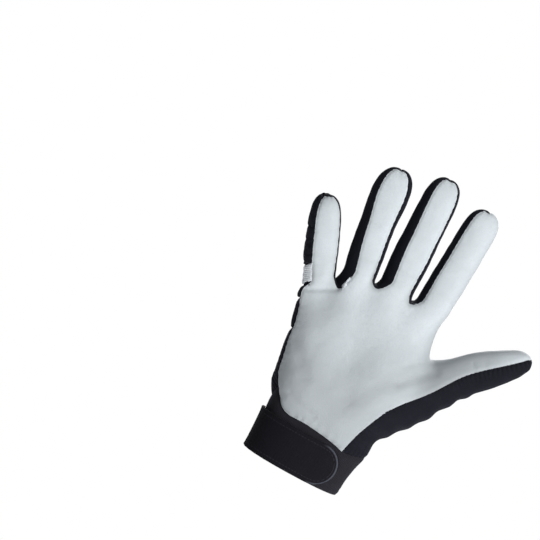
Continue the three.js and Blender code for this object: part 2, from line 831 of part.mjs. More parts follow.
function addPiece(name, geometry, colour, roughness) {
  const material = new THREE.MeshStandardMaterial({ color: colour, roughness, metalness: 0 });
  const mesh = new THREE.Mesh(geometry, material);
  mesh.name = name;
  glove.add(mesh);
}

// Pieces cut from the net
const cloth = { wall: fabricWall, colour: colours.fabric, roughness: 0.85, relief: noRelief, strips: 1 };
const leather = { wall: leatherWall, colour: colours.leather, roughness: 0.62, relief: noRelief, strips: 1 };
const kinds = {
  palm_leather: leather,
  cuff: { ...cloth, wall: cuff.wall, colour: colours.knit },
  thumb_back: { ...cloth, relief: ruffleRelief, strips: 3 },
  back_lower: cloth,
  back_upper: { ...cloth, relief: () => puff.back },
  knuckle_panel: { ...cloth, relief: knuckleRelief },
};
for (const digit of fingers) {
  kinds[`back_${digit.name}`] = { ...cloth, relief: () => puff.segment * digit.puff };
  kinds[`cap_${digit.name}`] = { ...leather, colour: colours.cap };
  kinds[`band_${digit.name}`] = { ...leather, colour: colours.cap, relief: ribRelief, strips: 3 };
}
for (const crotch of crotches) {
  kinds[`gusset_${crotch.name}`] = cloth;
}

function addNetPiece(name) {
  const kind = kinds[name];
  const whole = quads.filter((quad) => quad.piece === name);
  const faces = kind.strips > 1 ? splitRows(whole, kind.strips, bandRow) : whole;
  const geometry = shell(faces.map((face) => face.corners), kind.wall, kind.relief);
  addPiece(name, geometry, kind.colour, kind.roughness);
}

for (const name of new Set(quads.map((quad) => quad.piece))) {
  addNetPiece(name);
}

// Closed plate between two grids of points, each a list of rows
function plate(outerRows, innerRows) {
  const across = outerRows[0].length;
  const count = outerRows.length * across;
  const position = [...outerRows.flat(), ...innerRows.flat()].flatMap((point) => [point.x, point.y, point.z]);
  const index = [];
  const addFace = (a, b, c, d) => index.push(a, b, c, a, c, d);
  for (let row = 0; row < outerRows.length - 1; row += 1) {
    for (let column = 0; column < across - 1; column += 1) {
      const a = row * across + column;
      const c = a + across + 1;
      addFace(a, a + 1, c, c - 1);
      addFace(a + count, c - 1 + count, c + count, a + 1 + count);
    }
  }
  const last = (outerRows.length - 1) * across;
  for (let column = 0; column < across - 1; column += 1) {
    addFace(column, column + count, column + 1 + count, column + 1);
    addFace(last + column, last + column + 1, last + column + 1 + count, last + column + count);
  }
  for (let row = 0; row < outerRows.length - 1; row += 1) {
    const left = row * across;
    const right = left + across - 1;
    addFace(left, left + across, left + across + count, left + count);
    addFace(right, right + count, right + across + count, right + across);
  }
  const geometry = new THREE.BufferGeometry();
  geometry.setAttribute('position', new THREE.Float32BufferAttribute(position, 3));
  geometry.setIndex(index);
  return geometry;
}

// Point that stands off the cuff, at an angle round its section and a height
function cuffPoint(angle, z, standOff) {
  const section = cuffSection(z / cuff.height);
  const step = radians(1);
  const here = sectionPoint(section, angle);
  const there = sectionPoint(section, angle + step);
  const along = new THREE.Vector2(there.x - here.x, there.y - here.y).normalize();
  return new THREE.Vector3(here.x + along.y * standOff, here.y - along.x * standOff, z);
}

// Strap: from behind the ulnar side across the palm side of the cuff to a round end.
// Its stations are turns round the cuff and then turns round its end, all in degrees.
const strapBegins = -195;
const strapStations = 8;
const strapEndTurns = [22, 42, 60, 73, 83];
const strapLevels = [1, 0.5, 0, -0.5, -1];

function buildStrap() {
  const radius = strap.height / 2;
  const middle = seamGap + radius;
  const section = cuffSection(middle / cuff.height);
  const roundStart = strap.overlap - cuff.width / 2 - radius;
  const stations = [];
  const first = radians(strapBegins);
  const last = -angleAt(section, roundStart);
  for (let step = 0; step <= strapStations; step += 1) {
    stations.push({ angle: lerp(first, last, step / strapStations), half: radius });
  }
  for (const turn of strapEndTurns.map(radians)) {
    const x = roundStart + radius * Math.sin(turn);
    stations.push({ angle: -angleAt(section, x), half: radius * Math.cos(turn) });
  }
  const grid = (standOff) => stations.map(({ angle, half }) => (
    strapLevels.map((level) => cuffPoint(angle, middle + level * half, standOff))
  ));
  return plate(grid(strap.clearance + strap.wall), grid(strap.clearance));
}

// Label: a small plate on the back, across the seam between cuff and back. Its middle is given as shares of
// the palm's width and of the cuff's height above the seam.
const labelPlace = { x: -0.015, z: 0.11 };
const labelLevels = [-0.5, -0.25, 0, 0.25, 0.5];

function buildLabel() {
  const middle = cuff.height * (1 + labelPlace.z);
  const section = palmSection(0);
  const grid = (standOff) => labelLevels.map((up) => (
    labelLevels.map((across) => {
      const x = labelPlace.x * palm.width - across * label.width;
      const y = sectionPoint(section, angleAt(section, x)).y + standOff;
      return new THREE.Vector3(x, y, middle + up * label.height);
    })
  ));
  return plate(grid(label.clearance + label.wall), grid(label.clearance));
}

addPiece('strap', buildStrap(), colours.fabric, 0.8);
addPiece('label', buildLabel(), colours.label, 0.6);

export default glove;
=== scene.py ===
"""Looks of a mechanic glove for a right hand: leather palm, black stretch back, white caps and bands."""

import math

import bmesh
import bpy
import numpy as np
from mathutils import Matrix, Vector, kdtree, noise


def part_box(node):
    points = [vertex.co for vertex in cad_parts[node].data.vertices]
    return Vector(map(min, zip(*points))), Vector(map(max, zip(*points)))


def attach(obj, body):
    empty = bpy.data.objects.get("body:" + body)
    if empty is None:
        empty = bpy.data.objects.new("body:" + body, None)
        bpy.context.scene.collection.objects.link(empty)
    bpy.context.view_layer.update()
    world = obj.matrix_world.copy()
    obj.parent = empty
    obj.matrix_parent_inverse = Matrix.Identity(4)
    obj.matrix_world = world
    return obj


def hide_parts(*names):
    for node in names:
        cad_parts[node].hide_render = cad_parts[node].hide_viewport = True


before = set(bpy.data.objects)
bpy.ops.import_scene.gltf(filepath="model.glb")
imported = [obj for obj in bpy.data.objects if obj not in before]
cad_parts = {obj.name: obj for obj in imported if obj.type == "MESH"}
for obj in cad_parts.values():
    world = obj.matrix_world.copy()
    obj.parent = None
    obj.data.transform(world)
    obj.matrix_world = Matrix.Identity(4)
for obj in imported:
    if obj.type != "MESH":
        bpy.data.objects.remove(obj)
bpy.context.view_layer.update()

bl_info = {
    "name": "Mechanic glove",
    "version": (1, 0, 0),
    "blender": (4, 5, 0),
    "location": "3D View > Sidebar > Glove",
    "description": "Sews the pieces of a mechanic glove over its frame",
    "category": "Object",
}

MM = 0.001
WELD = 0.001 * MM
RIM_TOLERANCE = 0.004 * MM
SMOOTH_ANGLE = math.radians(50)

# The fingers, from the little finger to the thumb side, and the gussets between them
FINGERS = ("pinkie", "ring", "middle", "index")
CAPPED = ("ring", "middle", "index")
GUSSETS = ("ring_pinkie", "middle_ring", "index_middle")


# Sizes and colours that a user would change
class GloveSizes(bpy.types.PropertyGroup):
    leather_wall: bpy.props.FloatProperty(
        name="Leather wall", description="Thickness of the leather and the bands",
        default=1.6 * MM, unit="LENGTH")
    fabric_wall: bpy.props.FloatProperty(
        name="Fabric wall", description="Thickness of the black fabric",
        default=1.6 * MM, unit="LENGTH")
    cuff_wall: bpy.props.FloatProperty(
        name="Cuff wall", description="Thickness of the folded knit of the cuff",
        default=2.4 * MM, unit="LENGTH")
    leather_seam: bpy.props.FloatProperty(
        name="Leather seam depth", description="How far the leather turns in at its seams",
        default=0.7 * MM, unit="LENGTH")
    fabric_seam: bpy.props.FloatProperty(
        name="Fabric seam depth", description="How far the fabric is drawn in at its seams",
        default=0.8 * MM, unit="LENGTH")
    grain: bpy.props.FloatProperty(
        name="Leather grain", description="Width of one pebble of the leather's grain",
        default=1.1 * MM, unit="LENGTH")
    band_rib: bpy.props.FloatProperty(
        name="Band rib", description="Distance from rib to rib of the white bands",
        default=1.5 * MM, unit="LENGTH")
    back_rib: bpy.props.FloatProperty(
        name="Back rib", description="Distance from rib to rib of the lower back panel",
        default=2.1 * MM, unit="LENGTH")
    stitch: bpy.props.FloatProperty(
        name="Stitch length", description="Length of one stitch with its gap",
        default=2.6 * MM, unit="LENGTH")


def colour(name, text, value):
    """A colour that a user can change, as linear red, green and blue."""
    return bpy.props.FloatVectorProperty(
        name=name, description=text, default=value, subtype="COLOR", min=0, max=1)


class GloveColours(bpy.types.PropertyGroup):
    leather: colour("Palm leather", "Pale grey leather of the palm", (0.472, 0.510, 0.535))
    cap: colour("White leather", "White leather of the finger caps", (0.80, 0.85, 0.88))
    band: colour("White band", "White elastic across the fingers", (0.76, 0.80, 0.84))
    stretch: colour("Stretch fabric", "Black stretch fabric", (0.0056, 0.0058, 0.0096))
    knit: colour("Ribbed knit", "Black ribbed knit of the lower back", (0.0066, 0.0068, 0.0110))
    cuff: colour("Cuff knit", "Black knit of the cuff", (0.0120, 0.0115, 0.0150))
    strap: colour("Strap", "Black webbing of the strap", (0.0050, 0.0046, 0.0072))
    label: colour("Label", "Dark woven label", (0.0060, 0.0080, 0.0150))
    mark: colour("Label bars", "Blue bars of the label", (0.110, 0.430, 0.740))
    thread: colour("Thread", "Dark sewing thread", (0.055, 0.060, 0.075))


def sizes():
    return bpy.context.scene.glove_sizes


def colours():
    return bpy.context.scene.glove_colours


# Shader maths
class Signal:
    """An output of a node. Arithmetic on it adds Math nodes to its material."""

    def __init__(self, finish, socket):
        self.finish = finish
        self.socket = socket

    def __add__(self, other):
        return self.finish.maths("ADD", self, other)

    def __radd__(self, other):
        return self.finish.maths("ADD", other, self)

    def __sub__(self, other):
        return self.finish.maths("SUBTRACT", self, other)

    def __rsub__(self, other):
        return self.finish.maths("SUBTRACT", other, self)

    def __mul__(self, other):
        return self.finish.maths("MULTIPLY", self, other)

    def __rmul__(self, other):
        return self.finish.maths("MULTIPLY", other, self)

    def __truediv__(self, other):
        return self.finish.maths("DIVIDE", self, other)


class Finish:
    """A material in the making."""

    def __init__(self, name):
        self.material = bpy.data.materials.new(name)
        self.material.use_nodes = True
        self.tree = self.material.node_tree
        self.tree.nodes.clear()
        self.place = self.node("ShaderNodeTexCoord", {}, {}, "Object")

    def node(self, kind, settings, inputs, output=0):
        """Adds a node with its settings and inputs, and gives one of its outputs."""
        made = self.tree.nodes.new(kind)
        for key, value in settings.items():
            if key == "stops":
                self.set_stops(made.color_ramp, value)
            else:
                setattr(made, key, value)
        for key, value in inputs.items():
            if isinstance(value, Signal):
                self.tree.links.new(value.socket, made.inputs[key])
            else:
                made.inputs[key].default_value = value
        return Signal(self, made.outputs[output]) if made.outputs else made

    @staticmethod
    def set_stops(ramp, stops):
        while len(ramp.elements) < len(stops):
            ramp.elements.new(1)
        for element, (position, shade) in zip(ramp.elements, stops):
            element.position = position
            element.color = (*shade, 1)

    def maths(self, operation, *values):
        settings = {"operation": operation}
        return self.node("ShaderNodeMath", settings, dict(enumerate(values)))

    def clamp(self, value):
        return self.node("ShaderNodeClamp", {}, {"Value": value})

    def between(self, value, low, high):
        """0 below low, 1 above high, and a smooth step in between."""
        settings = {"interpolation_type": "SMOOTHSTEP"}
        return self.node("ShaderNodeMapRange", settings, {"Value": value, "From Min": low, "From Max": high})

    def moved(self, offset=(0, 0, 0), turn=(0, 0, 0), scale=(1, 1, 1)):
        inputs = {"Vector": self.place, "Location": offset, "Rotation": turn, "Scale": scale}
        return self.node("ShaderNodeMapping", {}, inputs)

    def noise(self, size, detail=2.0, rough=0.5, vector=None):
        """Soft noise from 0 to 1, with bumps about size across."""
        inputs = {"Vector": vector or self.place, "Scale": 1 / size, "Detail": detail, "Roughness": rough}
        return self.node("ShaderNodeTexNoise", {}, inputs, "Fac")

    def pebbles(self, size, vector=None):
        """0 at the middle of a pebble and 1 between pebbles of about that size."""
        settings = {"feature": "SMOOTH_F1"}
        inputs = {"Vector": vector or self.place, "Scale": 1 / size, "Smoothness": 0.35}
        return self.node("ShaderNodeTexVoronoi", settings, inputs, "Distance")

    def attribute(self, name):
        return self.node("ShaderNodeAttribute", {"attribute_name": name}, {}, "Fac")

    def axis(self, which, vector=None):
        return self.node("ShaderNodeSeparateXYZ", {}, {"Vector": vector or self.place}, which)

    def wave(self, length, pitch):
        """-1 to 1 along a length in metres, once for each pitch."""
        return self.maths("SINE", length * (2 * math.pi / pitch))

    def mix(self, share, first, second):
        """A colour between two colours."""
        settings = {"data_type": "RGBA"}
        inputs = {0: share, 6: self.full(first), 7: self.full(second)}
        return self.node("ShaderNodeMix", settings, inputs, 2)

    @staticmethod
    def full(shade):
        return shade if isinstance(shade, Signal) else (*shade, 1)

    def bump(self, height, distance):
        """Normal of a height of 0 to 1 that stands for so many metres."""
        inputs = {"Height": height, "Distance": distance, "Strength": 1.0}
        return self.node("ShaderNodeBump", {}, inputs)

    def done(self, constants, **inputs):
        """Ends the material with a Principled shader."""
        shader = self.node("ShaderNodeBsdfPrincipled", {}, {**constants, **inputs})
        self.node("ShaderNodeOutputMaterial", {}, {"Surface": shader})
        return self.material


def shade(rgb, factor):
    return tuple(min(part * factor, 1) for part in rgb)


# Finishes
def leather_finish(name, rgb, grain, crease_painted_shade):
    """Soft grain leather: pebbles, pores, mottling, a painted highlight on turned edges and painted shade in
    creases and on the palm.
    """
    finish = Finish(name)
    mottle = finish.noise(24 * MM, 3, 0.55)
    cloud = finish.noise(7 * MM, 4, 0.6)
    pebble = finish.pebbles(grain)
    pore = finish.noise(0.35 * MM, 2, 0.6)
    warped = finish.noise(2.6 * MM, 3, 0.65)
    crease = finish.attribute("crease")
    worn = finish.attribute("worn")
    seam = finish.attribute("seam")
    tone = finish.mix(finish.between(mottle, 0.3, 0.75), shade(rgb, 0.95), shade(rgb, 1.04))
    tone = finish.mix(finish.between(cloud, 0.45, 0.8) * 0.5, tone, shade(rgb, 0.93))
    tone = finish.mix(finish.between(pebble, 0.45, 0.9) * 0.35, tone, shade(rgb, 0.86))
    # Painted shade in the creases, darker where they are deeper
    tone = finish.mix(finish.clamp(crease * crease_painted_shade), tone, shade(rgb, 0.62))
    # Painted highlight along the turned edges at the seams
    tone = finish.mix(finish.between(seam, 0.80, 0.95) * 0.5, tone, shade(rgb, 1.15))
    # Painted shade on the palm, its heel, the thumb root and round the crotches' edges
    tone = finish.mix(finish.clamp(worn), tone, shade(rgb, 0.55))
    height = 0.55 * (1 - pebble) + 0.25 * pore + 0.5 * warped
    return finish.done(
        {"Specular IOR Level": 0.35, "Sheen Weight": 0.08, "Sheen Roughness": 0.5},
        **{
            "Base Color": tone,
            "Roughness": 0.60 + 0.16 * cloud - 0.08 * crease,
            "Normal": finish.bump(height, 0.16 * MM),
        },
    )


def band_finish():
    """White elastic: fine ribs that run across the finger, with a soft weave along them."""
    finish = Finish("white_elastic")
    rgb = colours().band
    rib = finish.wave(finish.attribute("along"), sizes().band_rib)
    weave = finish.noise(0.5 * MM, 2, 0.6)
    worn = finish.noise(6 * MM, 3, 0.6)
    tone = finish.mix(finish.between(rib, -0.9, 0.3), shade(rgb, 0.80), shade(rgb, 1.06))
    tone = finish.mix(finish.between(worn, 0.5, 0.8) * 0.4, tone, shade(rgb, 0.90))
    height = 0.6 * finish.between(rib, -1, 1) + 0.3 * weave
    return finish.done(
        {"Specular IOR Level": 0.3, "Sheen Weight": 0.15, "Sheen Roughness": 0.4},
        **{
            "Base Color": tone,
            "Roughness": 0.72 + 0.12 * weave,
            "Normal": finish.bump(height, 0.30 * MM),
        },
    )


def stretch_finish():
    """Black stretch fabric: a fine knit with a dull sheen and paler patches."""
    finish = Finish("black_stretch_fabric")
    rgb = colours().stretch
    across = finish.moved(turn=(0, math.radians(35), 0))
    wale = finish.wave(finish.axis("X", across), 0.9 * MM)
    course = finish.wave(finish.axis("Z", across), 0.7 * MM)
    fuzz = finish.noise(0.6 * MM, 3, 0.7)
    worn = finish.noise(11 * MM, 4, 0.6)
    knit = finish.between(wale * course, -1, 1)
    tone = finish.mix(knit, shade(rgb, 0.75), shade(rgb, 1.3))
    tone = finish.mix(finish.between(worn, 0.5, 0.8) * 0.5, tone, shade(rgb, 1.7))
    tone = finish.mix(finish.between(fuzz, 0.62, 0.8) * 0.35, tone, shade(rgb, 3.0))
    height = 0.5 * knit + 0.5 * fuzz
    return finish.done(
        {"Specular IOR Level": 0.12, "Sheen Weight": 0.05, "Sheen Roughness": 0.45,
         "Sheen Tint": (0.72, 0.80, 1.0, 1)},
        **{
            "Base Color": tone,
            "Roughness": 0.78 + 0.14 * fuzz,
            "Normal": finish.bump(height, 0.14 * MM),
        },
    )


def knit_finish():
    """Black rib knit of the lower back: ribs that slant up to the thumb side."""
    finish = Finish("black_rib_knit")
    rgb = colours().knit
    drift = finish.noise(18 * MM, 2, 0.5)
    slanted = finish.moved(turn=(0, math.radians(62), 0))
    path = finish.axis("X", slanted) + 1.2 * MM * drift
    rib = finish.wave(path, sizes().back_rib)
    loop = finish.wave(finish.axis("Z", slanted), 1.1 * MM)
    fuzz = finish.noise(0.6 * MM, 3, 0.7)
    worn = finish.noise(14 * MM, 4, 0.6)
    ridge = finish.between(rib, -0.8, 0.9)
    tone = finish.mix(ridge, shade(rgb, 0.6), shade(rgb, 1.35))
    tone = finish.mix(finish.between(worn, 0.5, 0.8) * 0.5, tone, shade(rgb, 1.7))
    tone = finish.mix(finish.between(fuzz, 0.62, 0.8) * 0.35, tone, shade(rgb, 3.0))
    height = 0.7 * ridge + 0.15 * ridge * finish.between(loop, -1, 1) + 0.15 * fuzz
    return finish.done(
        {"Specular IOR Level": 0.12, "Sheen Weight": 0.05, "Sheen Roughness": 0.45,
         "Sheen Tint": (0.72, 0.80, 1.0, 1)},
        **{
            "Base Color": tone,
            "Roughness": 0.80 + 0.12 * fuzz,
            "Normal": finish.bump(height, 0.40 * MM),
        },
    )


def cuff_finish():
    """Black cuff knit: close upright wales with a little fuzz."""
    finish = Finish("black_cuff_knit")
    rgb = colours().cuff
    wale = finish.wave(finish.attribute("round"), 1.5 * MM)
    course = finish.wave(finish.axis("Z"), 1.1 * MM)
    fuzz = finish.noise(0.7 * MM, 3, 0.7)
    worn = finish.noise(12 * MM, 4, 0.6)
    knit = finish.between(wale + 0.4 * course, -1.2, 1.2)
    tone = finish.mix(knit, shade(rgb, 0.7), shade(rgb, 1.25))
    tone = finish.mix(finish.between(worn, 0.5, 0.8) * 0.5, tone, shade(rgb, 1.6))
    tone = finish.mix(finish.between(fuzz, 0.62, 0.8) * 0.3, tone, shade(rgb, 3.0))
    return finish.done(
        {"Specular IOR Level": 0.14, "Sheen Weight": 0.05, "Sheen Roughness": 0.45,
         "Sheen Tint": (0.75, 0.80, 1.0, 1)},
        **{
            "Base Color": tone,
            "Roughness": 0.80 + 0.14 * fuzz,
            "Normal": finish.bump(0.6 * knit + 0.4 * fuzz, 0.20 * MM),
        },
    )


def strap_finish():
    """Black webbing of the strap, with a greyer bound edge round its free end."""
    finish = Finish("black_strap_webbing")
    rgb = colours().strap
    slanted = finish.moved(turn=(0, math.radians(45), 0))
    twill = finish.wave(finish.axis("X", slanted), 1.0 * MM)
    course = finish.wave(finish.axis("Z"), 0.8 * MM)
    fuzz = finish.noise(0.5 * MM, 3, 0.7)
    worn = finish.noise(9 * MM, 4, 0.6)
    inset = finish.attribute("inset")
    edge = finish.between(inset, 0.2 * MM, 0.7 * MM) * (1 - finish.between(inset, 1.2 * MM, 2.0 * MM))
    edge = edge * finish.between(finish.attribute("end"), -3 * MM, 5 * MM)
    line = finish.between(inset, 3.0 * MM, 3.2 * MM) * (1 - finish.between(inset, 3.4 * MM, 3.6 * MM))
    stitch = line * finish.between(finish.wave(finish.axis("X"), sizes().stitch), -0.6, -0.3)
    weave = finish.between(twill + 0.5 * course, -1.2, 1.2)
    tone = finish.mix(weave, shade(rgb, 0.75), shade(rgb, 1.2))
    tone = finish.mix(finish.between(worn, 0.5, 0.8) * 0.4, tone, shade(rgb, 1.5))
    tone = finish.mix(edge * 0.9, tone, colours().thread)
    tone = finish.mix(stitch * 0.25, tone, colours().thread)
    return finish.done(
        {"Specular IOR Level": 0.10, "Sheen Weight": 0.02, "Sheen Roughness": 0.4},
        **{
            "Base Color": tone,
            "Roughness": 0.70 + 0.16 * fuzz,
            "Normal": finish.bump(0.35 * weave + 0.25 * fuzz + 0.4 * stitch - 0.4 * edge, 0.25 * MM),
        },
    )


def label_finish(middle, width, height):
    """Dark woven label with plain blue bars on its right half."""
    finish = Finish("woven_label")
    centred = finish.moved(offset=(-middle.x, -middle.y, -middle.z))
    right = -1 * finish.axis("X", centred) / width
    up = finish.axis("Z", centred) / height
    pitch = 0.6 * MM
    threads = finish.wave(finish.axis("X"), pitch) + finish.wave(finish.axis("Z"), pitch)
    weave = finish.between(threads, -1.6, 1.6)
    inside = finish.between(right, 0.06, 0.08) * (1 - finish.between(right, 0.36, 0.38))
    inside = inside * finish.between(up, -0.28, -0.26) * (1 - finish.between(up, 0.26, 0.28))
    bars = inside * finish.between(finish.wave(right - 0.01, 0.12), -0.25, 0.05)
    tone = finish.mix(weave, shade(colours().label, 0.8), shade(colours().label, 1.25))
    tone = finish.mix(bars, tone, colours().mark)
    return finish.done(
        {"Specular IOR Level": 0.35},
        **{
            "Base Color": tone,
            "Roughness": 0.58 + 0.1 * weave,
            "Normal": finish.bump(0.7 * weave + 0.4 * bars, 0.10 * MM),
        },
    )


# Mesh steps
def select_only(piece):
    bpy.ops.object.select_all(action="DESELECT")
    piece.select_set(True)
    bpy.context.view_layer.objects.active = piece


def islands(faces):
    """Groups of faces that are joined by edges."""
    left = set(faces)
    groups = []
    while left:
        stack = [left.pop()]
        group = set(stack)
        while stack:
            face = stack.pop()
            near = {other for edge in face.edges for other in edge.link_faces} & left
            left -= near
            group |= near
            stack.extend(near)
        groups.append(group)
    return groups


def outer_faces(mesh, wall):
    """The outside of a closed wall. Its rim is told by edges as long as the wall is thick."""
    rim = {
        face for face in mesh.faces
        if any(abs(edge.calc_length() - wall) < RIM_TOLERANCE for edge in face.edges)
    }
    skins = islands(set(mesh.faces) - rim)
    outer = max(skins, key=lambda skin: sum(face.calc_area() for face in skin))
    for face in rim:
        if sum(other in outer for edge in face.edges for other in edge.link_faces) > 1:
            outer.add(face)
    return outer


def sewn(node):
    """Name of the piece that stands for a node."""
    return f"{node}_sewn"


def welded_copy(node):
    """A new piece: a welded copy of a CAD node, left in edit mode with all of it selected."""
    piece = bpy.data.objects.new(sewn(node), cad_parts[node].data.copy())
    piece.data.name = sewn(node)
    bpy.context.scene.collection.objects.link(piece)
    piece.data.materials.clear()
    select_only(piece)
    bpy.ops.object.mode_set(mode="EDIT")
    bpy.ops.mesh.customdata_custom_splitnormals_clear()
    bpy.ops.mesh.select_all(action="SELECT")
    bpy.ops.mesh.remove_doubles(threshold=WELD)
    return piece


def make_quads():
    """Joins the selected triangles in pairs."""
    bpy.ops.mesh.tris_convert_to_quads(
        face_threshold=math.pi, shape_threshold=math.pi, topology_influence=1.0)


def outer_skin(node, wall):
    """A new piece: the outside faces of a CAD node, welded and made quads."""
    piece = welded_copy(node)
    mesh = bmesh.from_edit_mesh(piece.data)
    outer = outer_faces(mesh, wall)
    for face in mesh.faces:
        face.select_set(face not in outer)
    bmesh.update_edit_mesh(piece.data)
    bpy.ops.mesh.delete(type="FACE")
    bpy.ops.mesh.select_all(action="SELECT")
    make_quads()
    bpy.ops.object.mode_set(mode="OBJECT")
    return piece


def smooth(piece, group, passes):
    """Evens out the points of a vertex group, each by its weight."""
    select_only(piece)
    bpy.ops.object.modifier_add(type="SMOOTH")
    smoothing = piece.modifiers[-1]
    smoothing.iterations = passes
    smoothing.factor = 0.5
    smoothing.vertex_group = group.name
    bpy.ops.object.modifier_apply(modifier=smoothing.name)


def refine(piece, levels, passes):
    """Subdivides a skin smoothly, and evens it out inside its edges."""
    select_only(piece)
    bpy.ops.object.modifier_add(type="SUBSURF")
    subdivision = piece.modifiers[-1]
    subdivision.levels = levels
    subdivision.render_levels = levels
    subdivision.boundary_smooth = "PRESERVE_CORNERS"
    bpy.ops.object.modifier_apply(modifier=subdivision.name)
    inside = piece.vertex_groups.new(name="inside")
    border = border_points(piece)
    inside.add([v.index for v in piece.data.vertices if v.index not in border], 1, "REPLACE")
    if passes:
        smooth(piece, inside, passes)


def even_out(piece, weights, passes):
    """Evens out a part of a skin, by a weight from 0 to 1 for each point. The edges stay."""
    border = border_points(piece)
    group = piece.vertex_groups.new(name="even")
    for index, weight in enumerate(weights):
        if weight > 0.01 and index not in border:
            group.add([index], float(weight), "REPLACE")
    smooth(piece, group, passes)


def border_edges(piece):
    """Edges of a skin that belong to one face only."""
    counts = {}
    for face in piece.data.polygons:
        for key in face.edge_keys:
            counts[key] = counts.get(key, 0) + 1
    return [key for key, count in counts.items() if count == 1]


def border_points(piece):
    return {point for edge in border_edges(piece) for point in edge}


class Skin:
    """Places, outward directions and distances from the nearest seam of a skin's points."""

    def __init__(self, piece):
        self.piece = piece
        vertices = piece.data.vertices
        self.place = np.empty(len(vertices) * 3)
        vertices.foreach_get("co", self.place)
        self.place = self.place.reshape(-1, 3)
        self.out = np.array([vertex.normal for vertex in vertices])
        self.border = self.border_places(piece)
        tree = kdtree.KDTree(len(self.border))
        for index, point in enumerate(self.border):
            tree.insert(point, index)
        tree.balance()
        found = [tree.find(point) for point in self.place]
        self.edge = np.array([distance for _, _, distance in found])
        self.seam = np.array([place for place, _, _ in found])

    @staticmethod
    def border_places(piece):
        points = []
        vertices = piece.data.vertices
        for first, second in border_edges(piece):
            for share in (0, 0.25, 0.5, 0.75):
                points.append(vertices[first].co.lerp(vertices[second].co, share))
        return points

    @property
    def x(self):
        return self.place[:, 0] / MM

    @property
    def y(self):
        return self.place[:, 1] / MM

    @property
    def z(self):
        return self.place[:, 2] / MM

    def push(self, height):
        """Moves the points outwards by a height in metres each."""
        self.place = self.place + self.out * height[:, None]
        self.piece.data.vertices.foreach_set("co", self.place.ravel())
        self.piece.data.update()
        self.out = np.array([vertex.normal for vertex in self.piece.data.vertices])

    def keep(self, name, values):
        """Stores a value for each point, for the finish to read."""
        attribute = self.piece.data.attributes.new(name, "FLOAT", "POINT")
        attribute.data.foreach_set("value", np.asarray(values, dtype=np.float32))

    def noise(self, size, seed):
        """Soft noise from about -1 to 1 at the points, with bumps about size across."""
        shift = Vector((seed * 17.3, seed * 5.1, seed * 9.7))
        return np.array([noise.noise(Vector(point) / size + shift) for point in self.place])


# The cloth is simulated larger than life, over a number of frames
CLOTH_SCALE = 20
CLOTH_FRAMES = 24


def puff_out(piece, pressure, growth, most):
    """Cloth sewn down along its edge and pressed out by the hand inside. No point moves further than most."""
    before = Skin(piece).place
    piece.data.vertices.foreach_set("co", (before * CLOTH_SCALE).ravel())
    piece.data.update()
    down = piece.vertex_groups.new(name="sewn_down")
    down.add(list(border_points(piece)), 1, "REPLACE")
    select_only(piece)
    bpy.ops.object.modifier_add(type="CLOTH")
    cloth = piece.modifiers[-1]
    cloth.settings.quality = 5
    cloth.settings.mass = 0.15
    cloth.settings.air_damping = 3
    cloth.settings.bending_stiffness = 0.2
    cloth.settings.vertex_group_mass = down.name
    cloth.settings.use_pressure = True
    cloth.settings.uniform_pressure_force = pressure
    cloth.settings.shrink_min = -growth
    cloth.settings.effector_weights.gravity = 0
    cloth.point_cache.frame_start = 1
    cloth.point_cache.frame_end = CLOTH_FRAMES
    for moment in range(1, CLOTH_FRAMES + 1):
        bpy.context.scene.frame_set(moment)
    bpy.ops.object.modifier_apply(modifier=cloth.name)
    bpy.context.scene.frame_set(1)
    step = Skin(piece).place / CLOTH_SCALE - before
    length = np.linalg.norm(step, axis=1)[:, None]
    after = before + step * np.minimum(1, most / np.maximum(length, WELD))
    piece.data.vertices.foreach_set("co", after.ravel())
    piece.data.update()


def near(distance, reach):
    """1 at no distance, falling softly to 0 over a reach."""
    return np.exp(-(distance / reach) ** 2)


def shade_smooth(piece):
    """Smooth shading, with sharp edges where faces meet at more than the smooth angle."""
    select_only(piece)
    bpy.ops.object.shade_smooth_by_angle(angle=SMOOTH_ANGLE)


def close_wall(piece, wall):
    """Gives a skin its thickness, inwards, and smooth shading."""
    select_only(piece)
    bpy.ops.object.modifier_add(type="SOLIDIFY")
    solid = piece.modifiers[-1]
    solid.thickness = wall
    solid.offset = -1
    solid.use_rim = True
    bpy.ops.object.modifier_apply(modifier=solid.name)
    shade_smooth(piece)


def finish_piece(piece, material, node):
    """Gives a sewn piece its finish, hangs it on the root body and hides the CAD part that it stands for."""
    piece.data.materials.append(material)
    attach(piece, "root")
    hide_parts(node)
    return piece


def material_once(maker, name, *arguments):
    """A finish that several pieces share is made once."""
    return bpy.data.materials.get(name) or maker(*arguments)


def stretch_material():
    return material_once(stretch_finish, "black_stretch_fabric")


def rise(value, middle, width):
    """0 well below a middle value and 1 well above it."""
    return 1 / (1 + np.exp(-(value - middle) / width))


def seam_dip(skin, depth, reach):
    """How far a skin is drawn in at its seams, in metres."""
    return -depth * near(skin.edge, reach)


def clear_of_seams(skin, reach):
    """0 at a seam and 1 well clear of it."""
    return 1 - near(skin.edge, reach)


def facing_front(skin, middle):
    """1 where a skin faces the palm's side and 0 where it turns away, with a soft step at a middle value."""
    return rise(-skin.out[:, 1], middle, 0.1)


